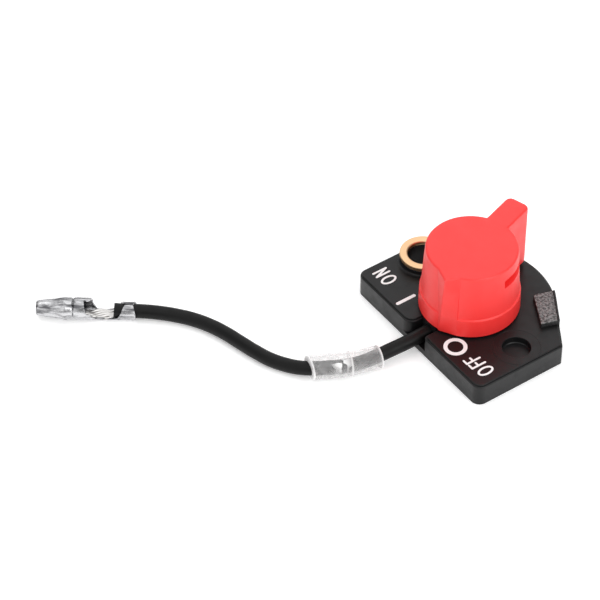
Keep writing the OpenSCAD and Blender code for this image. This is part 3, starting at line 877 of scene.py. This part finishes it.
def sleeve_path():
    """Close-set places along the sleeve, each with its centre, its direction and its outer radius."""
    route = [Vector(station[:3]) for station in SLEEVE_STATIONS]
    # Each direction runs from the place before to the place after
    ways = [(b - a).normalized() for a, b in zip(route[:1] + route, route[1:] + route[-1:])]
    ways[-1] = SLEEVE_CUT
    stations = [(here, way, station[3]) for here, way, station in zip(route, ways, SLEEVE_STATIONS)]
    path = []
    for (here, way, radius), (there, next_way, next_radius) in zip(stations, stations[1:]):
        cuts = max(1, round((there - here).length / SLEEVE_FACET))
        path += [(here.lerp(there, k / cuts), way.lerp(next_way, k / cuts).normalized(),
                  radius + (next_radius - radius) * k / cuts) for k in range(cuts)]
    return path + [stations[-1]]


def sleeve_skin(bm, path, inset):
    """One skin of the sleeve, slightly uneven, that far inside its outer radius. Returns its rings."""
    share = 0.6 if inset else 1
    rings = []
    for centre, way, radius in path:
        verts = bmesh.ops.create_circle(bm, segments=SLEEVE_SIDES, radius=radius - inset)["verts"]
        for v in verts:
            angle = math.atan2(v.co.y, v.co.x)
            spot = Vector((centre.y * 0.35, math.cos(angle), math.sin(angle)))
            v.co *= 1 + noise.noise(spot) * SLEEVE_WOBBLE * share / radius
        turn = way.to_track_quat("Z", "Y").to_matrix().to_4x4()
        rings.append(placed_ring(bm, verts, Matrix.Translation(centre) @ turn))
        if len(rings) > 1:
            bmesh.ops.bridge_loops(bm, edges=rings[-2] + rings[-1])
    return rings


def chart_sleeve(bm, path):
    """Gives the sleeve a map whose U runs from 0 to 1 along it."""
    chart = bm.loops.layers.uv.new("along")
    lengths = [0]
    for (here, _, _), (there, _, _) in zip(path, path[1:]):
        lengths.append(lengths[-1] + (there - here).length)
    for face in bm.faces:
        for corner in face.loops:
            offsets = [(corner.vert.co - centre).dot(way) for centre, way, _ in path]
            i = min(range(len(path)), key=lambda k: abs(offsets[k]))
            corner[chart].uv = (max(0, min(1, (lengths[i] + offsets[i]) / lengths[-1])), 0)


def sleeve():
    """Soft tube with a step part of the way along, swept between rings set square to its route."""
    bm = bmesh.new()
    path = sleeve_path()
    outside = sleeve_skin(bm, path, 0)
    inside = sleeve_skin(bm, path, SLEEVE_WALL)
    for end in (0, -1):
        bmesh.ops.bridge_loops(bm, edges=outside[end] + inside[end])
    bmesh.ops.recalc_face_normals(bm, faces=bm.faces)
    soften(bm, sharp_edges(bm, 50), SOFT["sleeve"], 2)
    chart_sleeve(bm, path)
    return piece("sleeve_clear", bm, "base", "clear_pvc", clear_pvc(), "insulating_sleeve", smooth=50)


# --- bullet terminal ---

TERM_WALL = 0.32
TERM_ACROSS = 36
# Height of the rolled head's centre, and how far round its sheet goes on either side, in degrees
HEAD_Z = 2.45
ROLLED = 179.3
# Wings and neck, row by row: place along the terminal, outer radius, height of the centre, and how far
# round the sheet goes: on its left side, and on its right where that differs
NECK_ROWS = (
    (-0.15, 2.02, 2.03, 106), (0.1, 1.95, 1.97, 142), (0.35, 1.9, 1.93, 170), (1.2, 1.9, 1.93, 174),
    (2.1, 1.9, 1.93, 172), (2.4, 1.92, 1.95, 152), (2.8, 1.95, 1.97, 120), (3.4, 1.92, 1.95, 84),
    (4.4, 1.85, 1.88, 64), (6, 1.8, 1.83, 58), (8, 1.85, 1.88, 62), (8.7, 2.15, 2.25, 76, 80),
    (8.95, 2.28, 2.43, 86, 100), (9.05, 2.3, HEAD_Z, 88, 140), (9.2, 2.3, HEAD_Z, 90, 170),
    (9.7, 2.3, HEAD_Z, 94, ROLLED), (10.1, 2.3, HEAD_Z, 104, ROLLED), (10.35, 2.3, HEAD_Z, 126, ROLLED),
    (10.5, 2.31, HEAD_Z, 155, ROLLED))
# Rolled head: place along the terminal and outer radius
HEAD_ROWS = (
    (10.6, 2.31), (11.2, 2.32), (12.45, 2.32), (12.65, 2.22), (12.8, 2.08), (12.95, 2.22), (13.15, 2.32),
    (14.0, 2.32), (14.15, 2.38), (14.3, 2.4), (14.6, 2.4), (14.8, 2.37), (15.2, 2.28), (16.6, 2.04),
    (18.4, 1.84), (19.9, 1.66), (20.3, 1.58), (20.48, 1.4))
TERM_ROWS = (*NECK_ROWS, *((along, radius, HEAD_Z, ROLLED) for along, radius in HEAD_ROWS))


def terminal():
    """Terminal rolled from sheet: wings round the insulation, an open neck, then the bullet."""
    bm = bmesh.new()
    bmesh.ops.create_grid(bm, x_segments=len(TERM_ROWS) - 1, y_segments=TERM_ACROSS, size=1)
    for v in bm.verts:
        row = round((v.co.x + 1) / 2 * (len(TERM_ROWS) - 1))
        along, radius, centre, *wraps = TERM_ROWS[row]
        angle = math.radians(wraps[0] if v.co.y > 0 else wraps[-1]) * v.co.y
        v.co = TERM_PLACE @ Vector((along, radius * math.sin(angle), centre - radius * math.cos(angle)))
    bmesh.ops.recalc_face_normals(bm, faces=bm.faces)
    # Outwards, so that the sheet's thickness goes inwards
    bmesh.ops.reverse_faces(bm, faces=bm.faces)
    bmesh.ops.solidify(bm, geom=bm.faces, thickness=TERM_WALL)
    return piece("bullet_terminal_rolled", bm, "base", "tin_plate", tin_plate(), "bullet_terminal",
                 smooth=40)


# Bare strands: each one's place across the neck and its height, their radius, and where they start and how
# far they run along the terminal
STRAND_SPOTS = ((-1.0, 0.82), (-0.5, 0.66), (0, 0.62), (0.5, 0.66), (1.0, 0.82),
                (-0.75, 1.0), (-0.25, 0.96), (0.25, 0.96), (0.75, 1.0))
STRAND_R = 0.3
STRAND_START = 4.3
STRAND_RUN = 6
STRAND_STEPS = 16


def strands():
    """Bare strands in the terminal's neck, each waving a little beside the next."""
    bm = bmesh.new()
    lengthwise = Matrix.Rotation(FULL / 4, 4, "Y")
    for i, (side, height) in enumerate(STRAND_SPOTS):
        before = None
        for k in range(STRAND_STEPS + 1):
            along = STRAND_START + STRAND_RUN * k / STRAND_STEPS
            phase = along * 1.7 + i
            spot = Vector((along, side + 0.25 * math.sin(phase), height + 0.1 * math.cos(phase)))
            verts = bmesh.ops.create_circle(bm, segments=8, radius=STRAND_R,
                                            cap_ends=k in (0, STRAND_STEPS))["verts"]
            ring = placed_ring(bm, verts, TERM_PLACE @ Matrix.Translation(spot) @ lengthwise)
            if before:
                bmesh.ops.bridge_loops(bm, edges=before + ring)
            before = ring
    material = plain_metal("tinned_copper_strand", "#D2D0CE", 0.34, 0.2)
    return piece("conductor_strands", bm, "base", "copper", material, "lead_core", smooth=50)


# --- stage ---

# Floor's size each way in metres and its own glow, the light from all round, each lamp's place, size and
# power, and the point they face
FLOOR_HALF = 6
FLOOR_GLOW = 0.22
SKY_LIGHT = 0.4
LAMPS = {
    "top_light": ((-0.05, 0.1, 0.6), 0.8, 1.95),
    "far_light": ((0.47, -0.33, 0.56), 0.9, 2.4),
    "left_light": ((-0.1, 0.6, 0.3), 0.5, 0.6),
    "right_light": ((-0.55, -0.05, 0.35), 0.5, 2.0),
}
LAMPS_AIM = Vector((0.01, 0.02, 0))


def stage():
    """Plain white floor and soft light from above, from beyond and from both sides."""
    bm = bmesh.new()
    bmesh.ops.create_grid(bm, x_segments=1, y_segments=1, size=FLOOR_HALF)
    mesh = bpy.data.meshes.new("floor")
    bm.to_mesh(mesh)
    bm.free()
    floor = bpy.data.objects.new("floor", mesh)
    floor.location.z = -0.0001
    bpy.context.scene.collection.objects.link(floor)
    material, _, shader, _ = surface("white_floor", "#FFFFFF", 0.9)
    shader.inputs["Emission Color"].default_value = (1, 1, 1, 1)
    shader.inputs["Emission Strength"].default_value = FLOOR_GLOW
    mesh.materials.append(material)
    world = bpy.data.worlds.new("studio")
    bpy.context.scene.world = world
    world.use_nodes = True
    backdrop = world.node_tree.nodes["Background"]
    backdrop.inputs["Color"].default_value = (1, 1, 1, 1)
    backdrop.inputs["Strength"].default_value = SKY_LIGHT
    for name, (place, size, power) in LAMPS.items():
        lamp = bpy.data.lights.new(name, "AREA")
        lamp.size = size
        lamp.energy = power
        obj = bpy.data.objects.new(name, lamp)
        obj.location = place
        obj.rotation_euler = (LAMPS_AIM - Vector(place)).to_track_quat("-Z", "Y").to_euler()
        bpy.context.scene.collection.objects.link(obj)


plate()
stop_pads()
earth_ring()
knob()
sleeve_piece = sleeve()
terminal_piece = terminal()
strands_piece = strands()
stage()

CARRIED = {
    "on_marking": pad_print(),
    "back_cover": plain_polymer("brown_phenolic_laminate", "#4A3326", "#553B2B", 0.5, 0.3),
    "cover_screws": plain_metal("zinc_plated_steel", "#C4C6C8", 0.3, 0.2),
    "earth_strip": brass("contact_brass", "#D9B36C", 0.3),
    "lead_clamp": black_nylon(),
    "shaft_seal": plain_polymer("nitrile_rubber", "#141414", "#1A1A1A", 0.6, 0.15),
    "rotor": plain_polymer("black_acetal", "#1D1D1F", "#232325", 0.4, 0.2),
    "bridge_contact": plain_metal("phosphor_bronze", "#C98F62", 0.3, 0.15),
    "contact_spring": plain_metal("spring_steel", "#A7A9AC", 0.28, 0.1),
    "detent_balls": plain_metal("bearing_steel", "#C9CBCE", 0.12, 0.1),
}
SAME = {"off_marking": "on_marking", "lead_contact": "earth_strip", "knob_screw": "cover_screws",
        "screw_washer": "cover_screws", "detent_springs": "contact_spring"}
for node in (*CARRIED, *SAME):
    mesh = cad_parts[node].data
    mesh.materials.clear()
    mesh.materials.append(CARRIED[SAME.get(node, node)])
